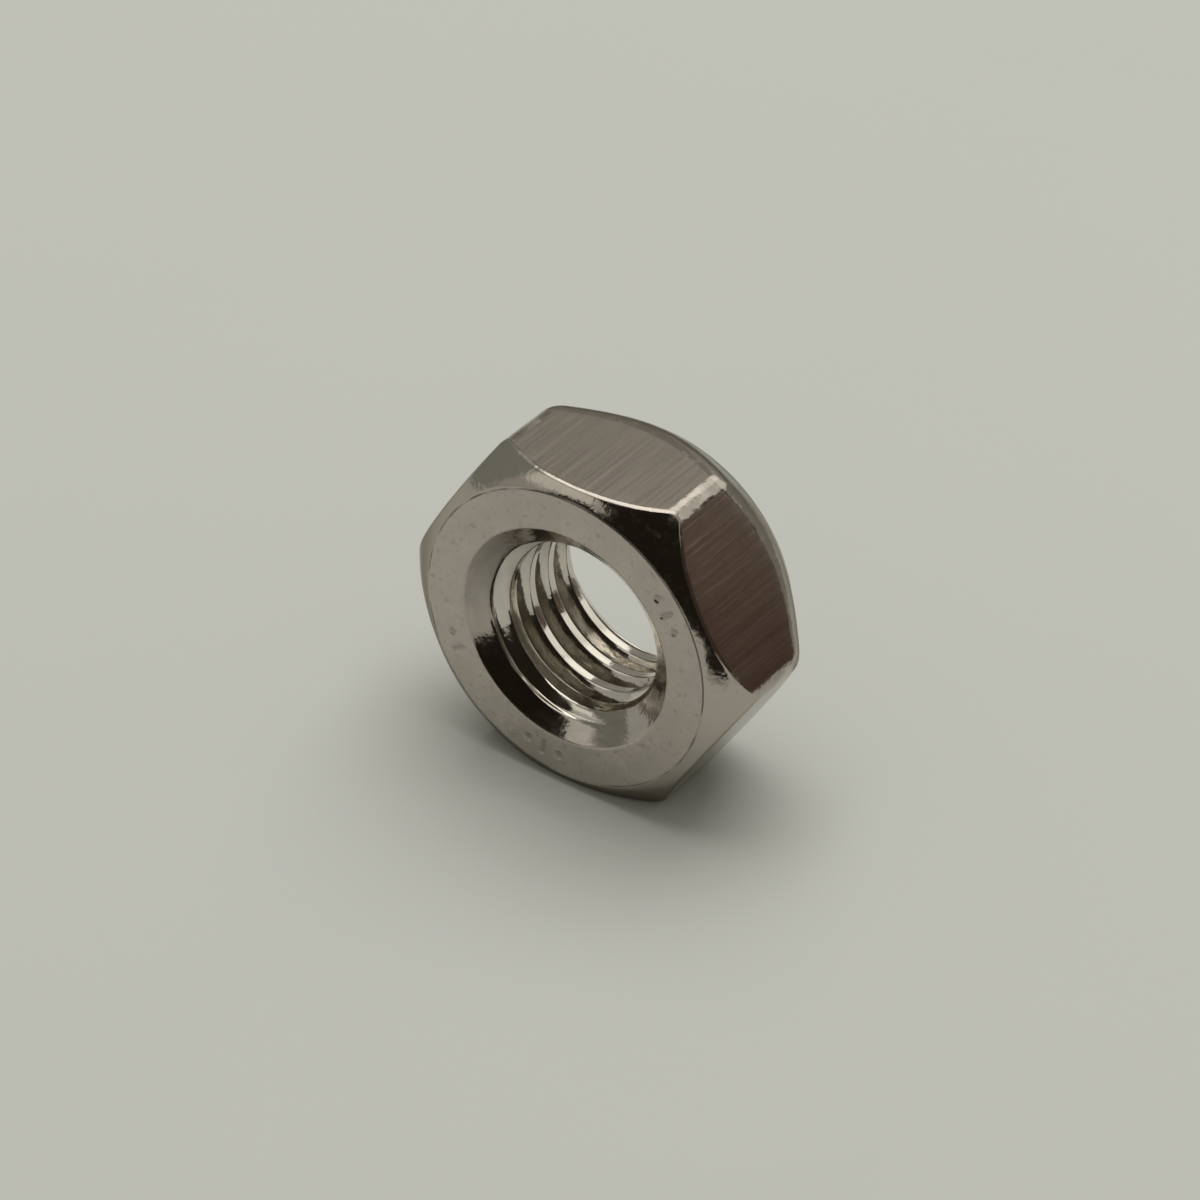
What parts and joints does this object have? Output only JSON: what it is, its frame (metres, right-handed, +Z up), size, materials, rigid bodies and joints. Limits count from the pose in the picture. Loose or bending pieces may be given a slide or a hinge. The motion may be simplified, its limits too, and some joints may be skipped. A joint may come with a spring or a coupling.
{
  "type": "hex nut",
  "caption": "Plain steel hex nut with bevelled corners, flat bearing faces and a countersunk, right-hand threaded bore, standing on one flat.",
  "frame": {"origin": "middle of the flat that the nut stands on", "axes": "+Y along the bore from the front bearing face to the back one, +Z up across the flats, +X across the corners"},
  "size_m": [0.0194, 0.008, 0.017],
  "materials": {
    "stainless_steel": "bare stainless steel: drawn flats, turned bearing faces, bright cut thread"
  },
  "bodies": {
    "root": {"hex_nut": "stainless_steel"}
  },
  "joints": []
}
